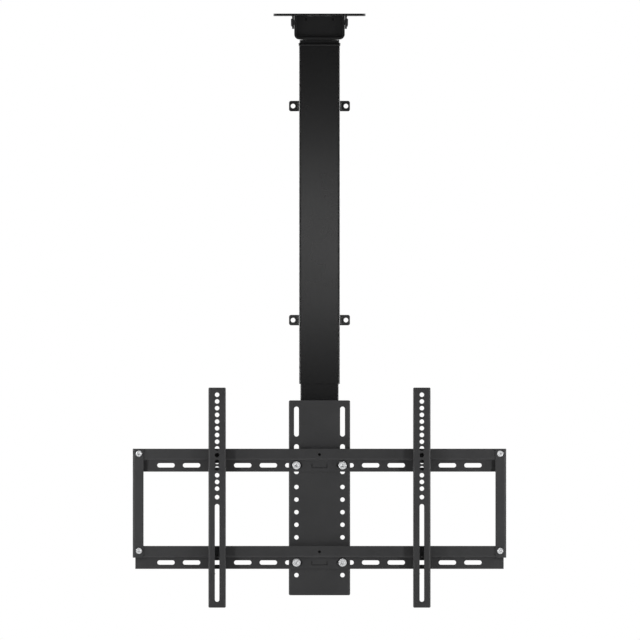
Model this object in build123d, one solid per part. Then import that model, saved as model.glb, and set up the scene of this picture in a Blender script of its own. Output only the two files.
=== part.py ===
"""Ceiling mount for a television: a motorised telescopic column under a ceiling plate,
with a slotted frame and two hook-on arms. Millimetres, +Z up, front towards -Y.
The origin is the middle of the ceiling plate's top face, so everything hangs below z = 0."""

from build123d import *
import os

# Ceiling plate with two ears folded down from it
CEILING_WIDTH = 180.0
CEILING_DEPTH = 120.0
CEILING_THICKNESS = 4.0
CEILING_CORNER = 12.0
CEILING_SLOT_LENGTH = 20.0
CEILING_SLOT_WIDTH = 9.0
CEILING_SLOT_SPAN_X = 144.0
CEILING_SLOT_SPAN_Y = 80.0
EAR_DROP = 13.0
EAR_END_RADIUS = 12.5
EAR_TOP_WIDTH = 46.0
EAR_BEND_RADIUS = 2.5
EAR_WINDOW_REACH = 26.0
EAR_RELIEF = 1.5

# Pressed head bracket between the ears
HEAD_WIDTH = 98.8
HEAD_DEPTH = 64.0
HEAD_THICKNESS = 4.0
HEAD_DROP = 50.0
HEAD_BEND_RADIUS = 6.0
HEAD_WALL_SETBACK = 5.0
HEAD_WALL_HOLE = 5.0
HEAD_WALL_HOLE_SPAN = 53.0
HEAD_WALL_HOLE_DROP = 10.5
HEAD_WALL_HOLE_DEPTH = 3.0
HEAD_CHEEK_RADIUS = 12.7

# Pivot bolts through ears and head, and the swivel bolt under the head
PIVOT_BOLT = 10.0
PIVOT_HEAD = 16.0
PIVOT_HEAD_HEIGHT = 2.2
PIVOT_NUT_FLATS = 16.0
PIVOT_NUT_HEIGHT = 8.0
SWIVEL_BOLT = 16.0
SWIVEL_FLATS = 24.0
SWIVEL_HEAD_HEIGHT = 10.0
SWIVEL_NUT_HEIGHT = 13.0
SWIVEL_WASHER = 30.0
SWIVEL_WASHER_THICKNESS = 3.0
SWIVEL_DISC = 77.0
SWIVEL_DISC_THICKNESS = 2.0

# Outer column tube and its top cap
OUTER_WIDTH = 80.0
OUTER_DEPTH = 60.0
OUTER_WALL = 1.5
OUTER_CORNER = 4.0
OUTER_LENGTH = 661.0
CAP_NECK_HEIGHT = 5.0
CAP_NECK_INSET = 1.0
CAP_FLANGE_HEIGHT = 6.0
CAP_OVERHANG = 1.25
CAP_EDGE_RADIUS = 2.0
CAP_SPIGOT_HEIGHT = 13.5
CAP_SCREW = 5.0
CAP_SCREW_HEAD = 9.5
CAP_SCREW_HEAD_HEIGHT = 2.8
CAP_SCREW_LENGTH = 12.0
CAP_SCREW_SPAN = 40.0

# Four lugs on the sides of the outer tube
LUG_HEIGHT = 20.5
LUG_REACH = 19.6
LUG_LEG = 22.0
LUG_THICKNESS = 2.5
LUG_BEND_RADIUS = 2.5
LUG_HOLE = 9.0
LUG_HOLE_SPAN_X = 103.6
LUG_UPPER_DROP = 117.2
LUG_PITCH = 419.0
LUG_CORNER = 4.0

# Inner tube, its glides and end plug
INNER_WIDTH = 75.0
INNER_DEPTH = 55.0
INNER_WALL = 2.0
INNER_CORNER = 3.0
INNER_SHOWN = 32.0
INNER_BEHIND_PLATE = 329.0
GLIDE_HEIGHT = 40.0
GLIDE_RUN = 0.15
GLIDE_LIP = 2.0
PLUG_FLANGE = 3.0
PLUG_SPIGOT = 12.0

# Gearmotor, bearing block and lead screw inside the column
MOTOR_GAP = 2.0
MOTOR_CAN = 38.0
MOTOR_CAN_LENGTH = 85.0
GEARBOX = 42.0
GEARBOX_LENGTH = 52.0
MOTOR_SHAFT = 8.0
MOTOR_SHAFT_DEPTH = 10.0
BLOCK_HEIGHT = 34.0
BEARING_OUTER = 28.0
BEARING_INNER = 12.0
BEARING_WIDTH = 12.0
COUPLER = 18.0
COUPLER_LENGTH = 18.0
COUPLER_BORE_DEPTH = 9.0
COUPLER_ROOM = 2.0
SCREW = 16.0
SCREW_COLLAR = 19.0
SCREW_COLLAR_HEIGHT = 4.0
SCREW_OVERRUN = 15.0
STROKE = 340.0
NUT_FLANGE = 44.0
NUT_FLANGE_HEIGHT = 6.0
NUT_BODY = 28.0
NUT_LENGTH = 25.0
NUT_PARKING_GAP = 5.7
NUT_CARRIER_HEIGHT = 30.0
NUT_SCREW = 4.0
NUT_SCREW_HEAD = 6.0
NUT_SCREW_RING_DIAMETER = 36.0
MOTOR_SCREW = 4.0
MOTOR_SCREW_HEAD = 7.0
MOTOR_SCREW_RING_DIAMETER = 34.0
BLOCK_SCREW_SPAN = 44.0

# Cable outlet in the back of the outer tube
OUTLET_HOLE = 16.0
OUTLET_FLANGE = 22.0
OUTLET_FLANGE_THICKNESS = 1.5
OUTLET_BORE = 8.0
OUTLET_DROP = 45.0

# Box-section standoffs and the adapter plate in front of the inner tube
STANDOFF_WIDTH = 60.0
STANDOFF_DEPTH = 30.0
STANDOFF_HEIGHT = 60.0
STANDOFF_WALL = 3.0
STANDOFF_CORNER = 5.0
STANDOFF_UPPER_DROP = 25.0
STANDOFF_LOWER_DROP = 262.0
PLATE_WIDTH = 120.0
PLATE_HEIGHT = 381.0
PLATE_THICKNESS = 2.5
PLATE_FLANGE = 14.0
PLATE_BEND_RADIUS = 0.8
PLATE_CORNER = 3.0
PLATE_SLOT_SPAN = 90.0
PLATE_SLOT_LENGTH = 58.5
PLATE_SLOT_WIDTH = 9.3
PLATE_SLOT_PITCH = 73.5
PLATE_SLOT_ABOVE_BOLT = 12.0
PLATE_HOLE = 8.6
PLATE_HOLE_PITCH = 24.6
PLATE_HOLE_COUNT = 8
PLATE_FIRST_HOLE_DROP = 169.4

# Two stepped cross rails
RAIL_LENGTH = 720.0
RAIL_HEIGHT = 45.0
RAIL_THICKNESS = 2.0
RAIL_STEP = 10.0
RAIL_RAISED_HEIGHT = 22.0
RAIL_BEND_RADIUS = 1.2
RAIL_BOLTED_HOLE = 6
RAIL_PITCH = 190.0
RAIL_SLOT_LENGTH = 34.0
RAIL_SLOT_WIDTH = 8.5
RAIL_SLOT_PITCH = 50.0
RAIL_SLOTS_PER_SIDE = 6
RAIL_SLOT_DROP = 32.5
RAIL_CENTRE_HOLE = 5.5
RAIL_CENTRE_HOLE_DROP = 11.4
LEVEL_TAB_LENGTH = 31.0
LEVEL_TAB_HEIGHT = 7.0
LEVEL_TAB_CUT = 1.6
LEVEL_TAB_DROP = 37.0

# Uprights that join the rail ends
UPRIGHT_WIDTH = 21.2
UPRIGHT_LENGTH = 213.0
UPRIGHT_THICKNESS = 2.5
UPRIGHT_FLANGE = 16.5
UPRIGHT_BEND_RADIUS = 1.5
UPRIGHT_OVERHANG = 5.0
UPRIGHT_CORNER = 3.0
CORNER_BOLT = 6.0
CORNER_BOLT_HEAD = 12.0
CORNER_BOLT_HEAD_HEIGHT = 3.6
CORNER_BOLT_SOCKET = 4.0
CORNER_BOLT_SOCKET_DEPTH = 1.8
CORNER_BOLT_DROP = 9.5
CORNER_BOLT_FROM_EDGE = 12.0
CORNER_NUT_FLATS = 10.0
CORNER_NUT_HEIGHT = 5.0

# Bolts that hold the rails to the adapter plate
PLATE_BOLT = 8.0
PLATE_BOLT_FLATS = 13.0
PLATE_BOLT_CROWN = 14.8
PLATE_BOLT_CHAMFER = 0.8
PLATE_BOLT_HEAD_HEIGHT = 5.3
PLATE_WASHER = 17.0
PLATE_WASHER_THICKNESS = 1.6
PLATE_NUT_HEIGHT = 6.5
BOLT_END = 2.5

# Two arms that carry the screen, and their lock screws
ARM_WIDTH = 34.0
ARM_LENGTH = 430.0
ARM_THICKNESS = 2.0
ARM_BEND_RADIUS = 1.5
ARM_CORNER = 2.5
ARM_SPAN = 400.0
ARM_ABOVE_RAIL = 119.5
ARM_STAND = 22.0
ARM_HOLE = 8.7
ARM_FIRST_HOLE_DROP = 14.0
ARM_HOLE_PITCH = 13.1
ARM_HOLE_COUNT = 15
ARM_PATTERN_HEIGHT = 200.0
ARM_SLOT_START = 213.5
ARM_SLOT_ABOVE_END = 11.5
ARM_END_DEPTH = 14.0
ARM_HOOK_DEPTH = 8.0
ARM_HOOK_THICKNESS = 9.6
ARM_HOOK_RISE = 45.0
ARM_FOOT_START = 36.0
ARM_FOOT_END = 75.0
ARM_RUN = 0.4
LOCK_SCREW = 5.0
LOCK_SCREW_LENGTH = 13.5
LOCK_SCREW_CONE = 3.0
LOCK_SCREW_BELOW_RAIL = 9.5
LOCK_SCREW_BEHIND_STEP = 4.0

# Clearances
HOLE_CLEARANCE = 0.5
FIT_CLEARANCE = 0.2
RUNNING_CLEARANCE = 0.05
SCREW_CLEARANCE = 0.1
HEAD_SIDE_CLEARANCE = 0.3

# Places that follow from the sizes, from the ceiling down
pivot_z = -CEILING_THICKNESS - EAR_DROP
ear_inner_x = HEAD_WIDTH / 2 + HEAD_SIDE_CLEARANCE
ear_outer_x = ear_inner_x + CEILING_THICKNESS
cheek_inner_x = HEAD_WIDTH / 2 - HEAD_THICKNESS
head_bottom_z = -HEAD_DROP
head_floor_z = head_bottom_z + HEAD_THICKNESS
disc_bottom_z = head_bottom_z - SWIVEL_DISC_THICKNESS
neck_bottom_z = disc_bottom_z - CAP_NECK_HEIGHT
outer_top_z = neck_bottom_z - CAP_FLANGE_HEIGHT
outer_bottom_z = outer_top_z - OUTER_LENGTH
spigot_bottom_z = outer_top_z - CAP_SPIGOT_HEIGHT
bolt_head_bottom_z = spigot_bottom_z - SWIVEL_HEAD_HEIGHT
motor_top_z = bolt_head_bottom_z - MOTOR_GAP
gearbox_top_z = motor_top_z - MOTOR_CAN_LENGTH
block_top_z = gearbox_top_z - GEARBOX_LENGTH
block_bottom_z = block_top_z - BLOCK_HEIGHT
bearing_top_z = block_bottom_z + BEARING_WIDTH
coupler_top_z = block_top_z - COUPLER_ROOM
coupler_bottom_z = coupler_top_z - COUPLER_LENGTH
collar_bottom_z = block_bottom_z - SCREW_COLLAR_HEIGHT
nut_top_z = collar_bottom_z - NUT_PARKING_GAP
inner_top_z = nut_top_z - NUT_FLANGE_HEIGHT
screw_bottom_z = inner_top_z - NUT_LENGTH - STROKE - SCREW_OVERRUN
plate_top_z = outer_bottom_z - INNER_SHOWN
plate_bottom_z = plate_top_z - PLATE_HEIGHT
inner_bottom_z = plate_top_z - INNER_BEHIND_PLATE
first_plate_hole_z = plate_top_z - PLATE_FIRST_HOLE_DROP
lower_bolt_z = first_plate_hole_z - RAIL_BOLTED_HOLE * PLATE_HOLE_PITCH
upper_bolt_z = lower_bolt_z + RAIL_PITCH
rail_top_z = upper_bolt_z + RAIL_SLOT_DROP
lower_rail_top_z = rail_top_z - RAIL_PITCH
lug_upper_z = outer_top_z - LUG_UPPER_DROP
lug_lower_z = lug_upper_z - LUG_PITCH
arm_top_z = rail_top_z + ARM_ABOVE_RAIL
arm_bottom_z = arm_top_z - ARM_LENGTH
first_hole_z = arm_top_z - ARM_FIRST_HOLE_DROP
lock_screw_z = lower_rail_top_z - RAIL_HEIGHT - LOCK_SCREW_BELOW_RAIL

# Places that follow from the sizes, from the column forward
tube_back_y = OUTER_DEPTH / 2
inner_front_y = -INNER_DEPTH / 2
plate_back_y = inner_front_y - STANDOFF_DEPTH
plate_front_y = plate_back_y - PLATE_THICKNESS
recess_front_y = plate_front_y - RAIL_THICKNESS
raised_front_y = recess_front_y - RAIL_STEP
raised_back_y = raised_front_y + RAIL_THICKNESS
upright_front_y = raised_front_y - UPRIGHT_THICKNESS
arm_front_y = raised_front_y - ARM_STAND
lock_screw_y = raised_front_y + LOCK_SCREW_BEHIND_STEP
corner_bolt_x = RAIL_LENGTH / 2 + UPRIGHT_OVERHANG - CORNER_BOLT_FROM_EDGE
glide_wall = (OUTER_WIDTH - INNER_WIDTH) / 2 - OUTER_WALL - GLIDE_RUN - RUNNING_CLEARANCE


def along_x(sketch, left, right):
    """Extrude a sketch drawn in Y and Z from one X to another."""
    return extrude(Plane.YZ.offset(left) * sketch, amount=right - left)


def along_y(sketch, front, back):
    """Extrude a sketch drawn in X and Z from the front to the back."""
    return extrude(Plane.XZ.offset(-back) * sketch, amount=back - front)


def along_z(sketch, bottom, top):
    """Extrude a sketch drawn in X and Y from one height to another."""
    return extrude(Plane.XY.offset(bottom) * sketch, amount=top - bottom)


def copies(sketch, places):
    """The same sketch at each of several places."""
    return Sketch() + [place * sketch for place in places]


def pair(span, height):
    """Two places in X and Z, evenly about the middle."""
    return [Pos(-span / 2, height), Pos(span / 2, height)]


def hexagon(flats):
    """A hexagon of a given width across its flats, with corners left and right."""
    return RegularPolygon(flats / 2, 6, major_radius=False)


def mirrored(part):
    """The same piece on the other side of the object's middle plane."""
    return mirror(part, about=Plane.YZ)


def rectangle_tube(width, depth, wall, corner, bottom, top):
    """A rectangular tube of even wall along Z."""
    outline = RectangleRounded(width, depth, corner)
    inside = RectangleRounded(width - 2 * wall, depth - 2 * wall, max(corner - wall, 0.5))
    return along_z(outline - inside, bottom, top)


def outer_bore(clearance):
    """The outer tube's inside as a sketch, made smaller by a clearance all round."""
    inset = 2 * (OUTER_WALL + clearance)
    corner = OUTER_CORNER - OUTER_WALL - clearance
    return RectangleRounded(OUTER_WIDTH - inset, OUTER_DEPTH - inset, corner)


def inner_bore(clearance):
    """The inner tube's inside as a sketch, made smaller by a clearance all round."""
    inset = 2 * (INNER_WALL + clearance)
    corner = INNER_CORNER - INNER_WALL
    return RectangleRounded(INNER_WIDTH - inset, INNER_DEPTH - inset, corner)


def ceiling_plate():
    """A flat plate with four screw slots and two ears folded down out of its middle."""
    plate = along_z(RectangleRounded(CEILING_WIDTH, CEILING_DEPTH, CEILING_CORNER), -CEILING_THICKNESS, 0)
    slot = SlotOverall(CEILING_SLOT_LENGTH, CEILING_SLOT_WIDTH)
    places = GridLocations(CEILING_SLOT_SPAN_X, CEILING_SLOT_SPAN_Y, 2, 2)
    plate -= along_z(copies(slot, places), -CEILING_THICKNESS, 0)
    bend_x = ear_outer_x + EAR_BEND_RADIUS
    window_width = bend_x - ear_inner_x + EAR_WINDOW_REACH
    window = RectangleRounded(window_width, EAR_TOP_WIDTH + 2 * EAR_RELIEF, EAR_RELIEF)
    window = along_z(Pos(bend_x - window_width / 2, 0) * window, -CEILING_THICKNESS, 0)
    middle = EAR_BEND_RADIUS + CEILING_THICKNESS / 2
    half = CEILING_THICKNESS / 2
    ear_middle_x = (ear_inner_x + ear_outer_x) / 2
    ear_end_z = pivot_z - EAR_END_RADIUS
    lap_x = bend_x + CEILING_THICKNESS
    bend = FilletPolyline((lap_x, -half), (ear_middle_x, -half), (ear_middle_x, ear_end_z), radius=middle)
    ear = extrude(Plane.XZ * trace(bend, CEILING_THICKNESS), amount=EAR_TOP_WIDTH / 2, both=True)
    end = Pos(0, pivot_z) * Circle(EAR_END_RADIUS)
    top = Polyline((-EAR_TOP_WIDTH / 2, -CEILING_THICKNESS), (-EAR_TOP_WIDTH / 2, 0),
                   (EAR_TOP_WIDTH / 2, 0), (EAR_TOP_WIDTH / 2, -CEILING_THICKNESS))
    outline = make_hull(end.edges() + top.edges())
    ear &= along_x(outline, cheek_inner_x, lap_x)
    bolt_hole = Pos(0, pivot_z) * Circle((PIVOT_BOLT + HOLE_CLEARANCE) / 2)
    ear -= along_x(bolt_hole, cheek_inner_x, lap_x)
    return plate - window - mirrored(window) + ear + mirrored(ear)


def pan_outline(width, top, bottom, radius):
    """A rectangle in X and Z whose two lower corners are rounded."""
    outline = Pos(0, (top + bottom) / 2) * Rectangle(width, top - bottom)
    return fillet(outline.vertices().sort_by(Axis.Y)[:2], radius)


def head_bracket():
    """A folded U with a recessed front wall that has two blind holes; its rear corners clear the
    plate as it tilts."""
    top = pivot_z + HEAD_CHEEK_RADIUS
    outer = pan_outline(HEAD_WIDTH, top, head_bottom_z, HEAD_BEND_RADIUS + HEAD_THICKNESS)
    inner = pan_outline(HEAD_WIDTH - 2 * HEAD_THICKNESS, top, head_floor_z, HEAD_BEND_RADIUS)
    half = HEAD_DEPTH / 2
    bracket = along_y(outer - inner, -half, half)
    cheek = Pos(0, pivot_z) * Circle(HEAD_CHEEK_RADIUS)
    frame = Polyline((-half, top), (-half, head_bottom_z), (half, head_bottom_z), (half, head_floor_z))
    bracket &= along_x(make_hull(cheek.edges() + frame.edges()), -HEAD_WIDTH, HEAD_WIDTH)
    wall_front = -half + HEAD_WALL_SETBACK
    wall_back = wall_front + HEAD_THICKNESS
    bracket += along_y(outer, wall_front, wall_back)
    holes = copies(Circle(HEAD_WALL_HOLE / 2), pair(HEAD_WALL_HOLE_SPAN, -HEAD_WALL_HOLE_DROP))
    bracket -= along_y(holes, wall_front, wall_front + HEAD_WALL_HOLE_DEPTH)
    bolt_hole = Pos(0, pivot_z) * Circle((PIVOT_BOLT + HOLE_CLEARANCE) / 2)
    bracket -= along_x(bolt_hole, -HEAD_WIDTH, HEAD_WIDTH)
    bracket -= along_z(Circle((SWIVEL_BOLT + HOLE_CLEARANCE) / 2), head_bottom_z, head_floor_z)
    return bracket


def pivot_bolt():
    """A low-headed bolt along X through the right ear and cheek."""
    axis = Pos(0, pivot_z)
    shank_end = cheek_inner_x - PIVOT_NUT_HEIGHT - BOLT_END
    bolt = along_x(axis * Circle(PIVOT_BOLT / 2), shank_end, ear_outer_x)
    head = along_x(axis * Circle(PIVOT_HEAD / 2), ear_outer_x, ear_outer_x + PIVOT_HEAD_HEIGHT)
    head = chamfer(head.faces().sort_by(Axis.X)[-1].edges(), PIVOT_HEAD_HEIGHT * 0.6)
    return bolt + head


def pivot_nut():
    """The nut on the inner end of the right pivot bolt."""
    nut = hexagon(PIVOT_NUT_FLATS) - Circle(PIVOT_BOLT / 2 + RUNNING_CLEARANCE)
    inner_face = cheek_inner_x - PIVOT_NUT_HEIGHT
    return along_x(Pos(0, pivot_z) * nut, inner_face, cheek_inner_x - RUNNING_CLEARANCE)


def swivel_disc():
    """A plain bearing disc between the head bracket and the column cap, with flats front and back."""
    neck_depth = OUTER_DEPTH - 2 * CAP_NECK_INSET
    ring = Circle(SWIVEL_DISC / 2) & Rectangle(SWIVEL_DISC, neck_depth)
    ring -= Circle((SWIVEL_BOLT + HOLE_CLEARANCE) / 2)
    return along_z(ring, disc_bottom_z, head_bottom_z)


def top_cap():
    """The cap that closes the outer tube: a neck, a wider flange and a spigot inside the tube."""
    neck_inset = 2 * CAP_NECK_INSET
    corner = OUTER_CORNER - CAP_NECK_INSET
    neck = RectangleRounded(OUTER_WIDTH - neck_inset, OUTER_DEPTH - neck_inset, corner)
    cap = along_z(neck, neck_bottom_z, disc_bottom_z)
    overhang = 2 * CAP_OVERHANG
    rim = RectangleRounded(OUTER_WIDTH + overhang, OUTER_DEPTH + overhang, OUTER_CORNER + CAP_OVERHANG)
    flange = along_z(rim, outer_top_z, neck_bottom_z)
    edges = flange.faces().sort_by(Axis.Z)[0].edges() + flange.faces().sort_by(Axis.Z)[-1].edges()
    cap += fillet(edges, CAP_EDGE_RADIUS)
    cap += along_z(outer_bore(FIT_CLEARANCE), spigot_bottom_z, outer_top_z)
    cap -= along_z(Circle(SWIVEL_BOLT / 2 + RUNNING_CLEARANCE), spigot_bottom_z, disc_bottom_z)
    holes = copies(Circle(CAP_SCREW / 2 + RUNNING_CLEARANCE), cap_screw_places())
    cap -= along_y(holes, tube_back_y - OUTER_WALL - CAP_SCREW_LENGTH, tube_back_y)
    return cap


def cap_screw_places():
    """Where the two cap screws sit in the back of the tube, in X and Z."""
    return pair(CAP_SCREW_SPAN, (outer_top_z + spigot_bottom_z) / 2)


def block_screw_places():
    """Where the two screws of the bearing block sit in the back of the tube, in X and Z."""
    return pair(BLOCK_SCREW_SPAN, (block_top_z + block_bottom_z) / 2)


def back_screws(places):
    """Two button-head screws driven into the column from behind."""
    head_back = tube_back_y + CAP_SCREW_HEAD_HEIGHT
    shanks = copies(Circle(CAP_SCREW / 2), places)
    screws = along_y(shanks, tube_back_y - CAP_SCREW_LENGTH, tube_back_y)
    heads = along_y(copies(Circle(CAP_SCREW_HEAD / 2), places), tube_back_y, head_back)
    heads = chamfer(heads.faces().group_by(Axis.Y)[-1].edges(), CAP_SCREW_HEAD_HEIGHT / 2)
    sockets = copies(hexagon(CAP_SCREW_HEAD / 3), places)
    heads -= along_y(sockets, tube_back_y + CAP_SCREW_HEAD_HEIGHT / 2, head_back)
    return screws + heads


def swivel_bolt():
    """The bolt that hangs the column from the head bracket and lets it turn."""
    top = head_floor_z + SWIVEL_WASHER_THICKNESS + SWIVEL_NUT_HEIGHT + BOLT_END
    bolt = along_z(Circle(SWIVEL_BOLT / 2), spigot_bottom_z, top)
    bolt = chamfer(bolt.faces().sort_by(Axis.Z)[-1].edges(), SWIVEL_BOLT / 12)
    return bolt + along_z(hexagon(SWIVEL_FLATS), bolt_head_bottom_z, spigot_bottom_z)


def swivel_washer():
    """The washer under the swivel nut."""
    ring = Circle(SWIVEL_WASHER / 2) - Circle(SWIVEL_BOLT / 2 + RUNNING_CLEARANCE)
    return along_z(ring, head_floor_z, head_floor_z + SWIVEL_WASHER_THICKNESS)


def swivel_nut():
    """The nut on the swivel bolt, inside the head bracket."""
    bottom = head_floor_z + SWIVEL_WASHER_THICKNESS
    ring = hexagon(SWIVEL_FLATS) - Circle(SWIVEL_BOLT / 2 + RUNNING_CLEARANCE)
    return along_z(ring, bottom, bottom + SWIVEL_NUT_HEIGHT)


def outer_tube():
    """The fixed tube of the column, with its screw holes and cable outlet at the back."""
    tube = rectangle_tube(OUTER_WIDTH, OUTER_DEPTH, OUTER_WALL, OUTER_CORNER, outer_bottom_z, outer_top_z)
    back_wall = (tube_back_y - 2 * OUTER_WALL, tube_back_y)
    for places in (cap_screw_places(), block_screw_places()):
        tube -= along_y(copies(Circle((CAP_SCREW + HOLE_CLEARANCE) / 2), places), *back_wall)
    tube -= along_y(Pos(0, outer_top_z - OUTLET_DROP) * Circle(OUTLET_HOLE / 2), *back_wall)
    return tube


def cable_outlet():
    """A rubber grommet in the back wall for the motor lead."""
    place = Pos(0, outer_top_z - OUTLET_DROP)
    body = Circle(OUTLET_HOLE / 2 - RUNNING_CLEARANCE)
    inner_face = tube_back_y - OUTER_WALL
    grommet = along_y(place * body, inner_face - OUTLET_FLANGE_THICKNESS, tube_back_y)
    flange = Circle(OUTLET_FLANGE / 2)
    outer_flange = along_y(place * flange, tube_back_y, tube_back_y + OUTLET_FLANGE_THICKNESS)
    rim = outer_flange.faces().sort_by(Axis.Y)[-1].edges()
    grommet += chamfer(rim, OUTLET_FLANGE_THICKNESS / 2)
    grommet += along_y(place * flange, inner_face - OUTLET_FLANGE_THICKNESS, inner_face)
    bore = place * Circle(OUTLET_BORE / 2)
    grommet -= along_y(bore, inner_face - OUTLET_FLANGE_THICKNESS, tube_back_y + OUTLET_FLANGE_THICKNESS)
    return grommet


def lug(centre_z):
    """A folded lug welded to the tube's right side, its face level with the tube's back."""
    side = OUTER_WIDTH / 2
    half = LUG_THICKNESS / 2
    path = FilletPolyline((side + half, tube_back_y - LUG_LEG), (side + half, tube_back_y - half),
                          (side + LUG_REACH, tube_back_y - half), radius=LUG_BEND_RADIUS + half)
    tab = along_z(trace(path, LUG_THICKNESS), centre_z - LUG_HEIGHT / 2, centre_z + LUG_HEIGHT / 2)
    corners = tab.edges().filter_by(Axis.Y).group_by(Axis.X)[-1]
    tab = fillet(corners, LUG_CORNER)
    hole = Pos(LUG_HOLE_SPAN_X / 2, centre_z) * Circle(LUG_HOLE / 2)
    return tab - along_y(hole, tube_back_y - LUG_THICKNESS, tube_back_y)


def lower_glide():
    """A thin plastic sleeve in the mouth of the outer tube."""
    outside = outer_bore(RUNNING_CLEARANCE)
    width = INNER_WIDTH + 2 * GLIDE_RUN
    depth = INNER_DEPTH + 2 * GLIDE_RUN
    inside = RectangleRounded(width, depth, INNER_CORNER + GLIDE_RUN)
    bottom = outer_bottom_z + GLIDE_LIP
    return along_z(outside - inside, bottom, bottom + GLIDE_HEIGHT)


def upper_glide():
    """A thin plastic sleeve round the top of the inner tube."""
    outside = outer_bore(GLIDE_RUN)
    width = INNER_WIDTH + 2 * RUNNING_CLEARANCE
    depth = INNER_DEPTH + 2 * RUNNING_CLEARANCE
    inside = RectangleRounded(width, depth, INNER_CORNER + RUNNING_CLEARANCE)
    return along_z(outside - inside, inner_top_z - GLIDE_LIP - GLIDE_HEIGHT, inner_top_z - GLIDE_LIP)


def gearmotor():
    """The motor can with its gearbox below it, and a seat for the output shaft."""
    motor = along_z(Circle(MOTOR_CAN / 2), gearbox_top_z, motor_top_z)
    motor = chamfer(motor.faces().sort_by(Axis.Z)[-1].edges(), MOTOR_CAN / 16)
    motor += along_z(Circle(GEARBOX / 2), block_top_z, gearbox_top_z)
    seat = Circle(MOTOR_SHAFT / 2 + RUNNING_CLEARANCE)
    motor -= along_z(seat, block_top_z, block_top_z + MOTOR_SHAFT_DEPTH)
    holes = copies(Circle(MOTOR_SCREW / 2 + RUNNING_CLEARANCE), motor_screw_places())
    return motor - along_z(holes, block_top_z, block_top_z + MOTOR_SHAFT_DEPTH)


def motor_screw_places():
    """Four places round the gearbox's output shaft."""
    return PolarLocations(MOTOR_SCREW_RING_DIAMETER / 2, 4)


def motor_shaft():
    """The gearbox output shaft, which reaches into the coupler."""
    return along_z(Circle(MOTOR_SHAFT / 2), coupler_top_z - COUPLER_BORE_DEPTH, block_top_z + MOTOR_SHAFT_DEPTH)


def motor_screws():
    """Four socket screws that hold the gearbox on the bearing block."""
    places = motor_screw_places()
    head_top = bearing_top_z + COUPLER_ROOM + MOTOR_SCREW
    heads = along_z(copies(Circle(MOTOR_SCREW_HEAD / 2), places), head_top - MOTOR_SCREW, head_top)
    shanks = copies(Circle(MOTOR_SCREW / 2), places)
    return heads + along_z(shanks, head_top, block_top_z + MOTOR_SHAFT_DEPTH - BOLT_END)


def bearing_block():
    """The block across the tube that carries the motor above and the screw bearing below."""
    block = along_z(outer_bore(FIT_CLEARANCE), block_bottom_z, block_top_z)
    block -= along_z(Circle(COUPLER / 2 + COUPLER_ROOM), block_bottom_z, block_top_z)
    block -= along_z(Circle(BEARING_OUTER / 2 + RUNNING_CLEARANCE), block_bottom_z, bearing_top_z)
    places = motor_screw_places()
    head_top = bearing_top_z + COUPLER_ROOM + MOTOR_SCREW
    block -= along_z(copies(Circle(MOTOR_SCREW / 2 + RUNNING_CLEARANCE), places), head_top, block_top_z)
    head_holes = copies(Circle(MOTOR_SCREW_HEAD / 2 + FIT_CLEARANCE), places)
    block -= along_z(head_holes, block_bottom_z, head_top)
    holes = copies(Circle(CAP_SCREW / 2 + RUNNING_CLEARANCE), block_screw_places())
    return block - along_y(holes, tube_back_y - CAP_SCREW_LENGTH - OUTER_WALL, tube_back_y)


def screw_bearing():
    """The ball bearing that carries the lead screw."""
    ring = Circle(BEARING_OUTER / 2) - Circle(BEARING_INNER / 2 + RUNNING_CLEARANCE)
    return along_z(ring, block_bottom_z, bearing_top_z)


def coupler():
    """The coupler between the motor shaft and the screw's journal."""
    sleeve = along_z(Circle(COUPLER / 2), coupler_bottom_z, coupler_top_z)
    shaft_bottom = coupler_top_z - COUPLER_BORE_DEPTH
    sleeve -= along_z(Circle(MOTOR_SHAFT / 2 + RUNNING_CLEARANCE), shaft_bottom, coupler_top_z)
    return sleeve - along_z(Circle(BEARING_INNER / 2 + RUNNING_CLEARANCE), coupler_bottom_z, shaft_bottom)


def lead_screw():
    """The lead screw with its collar under the bearing and its journal through it."""
    shaft_bottom = coupler_top_z - COUPLER_BORE_DEPTH
    screw = along_z(Circle(BEARING_INNER / 2), block_bottom_z, shaft_bottom)
    screw += along_z(Circle(SCREW_COLLAR / 2), collar_bottom_z, block_bottom_z - RUNNING_CLEARANCE)
    screw += along_z(Circle(BEARING_INNER / 2), block_bottom_z - RUNNING_CLEARANCE, block_bottom_z)
    thread = along_z(Circle(SCREW / 2), screw_bottom_z, collar_bottom_z)
    return screw + chamfer(thread.faces().sort_by(Axis.Z)[0].edges(), SCREW / 10)


def drive_nut():
    """The flanged nut that runs on the screw and lowers the inner tube."""
    nut = along_z(Circle(NUT_FLANGE / 2), inner_top_z, nut_top_z)
    nut += along_z(Circle(NUT_BODY / 2), inner_top_z - NUT_LENGTH, inner_top_z)
    nut -= along_z(Circle(SCREW / 2 + SCREW_CLEARANCE), inner_top_z - NUT_LENGTH, nut_top_z)
    holes = copies(Circle(NUT_SCREW / 2 + RUNNING_CLEARANCE), nut_screw_places())
    return nut - along_z(holes, inner_top_z, nut_top_z)


def nut_screw_places():
    """Four places round the drive nut's flange."""
    return PolarLocations(NUT_SCREW_RING_DIAMETER / 2, 4, start_angle=45)


def nut_screws():
    """Four flat-headed screws that hold the drive nut in its carrier."""
    places = nut_screw_places()
    shanks = copies(Circle(NUT_SCREW / 2), places)
    heads = copies(Circle(NUT_SCREW_HEAD / 2), places)
    screws = along_z(shanks, inner_top_z - NUT_CARRIER_HEIGHT / 2, nut_top_z)
    return screws + along_z(heads, nut_top_z, nut_top_z + NUT_SCREW / 2)


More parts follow.
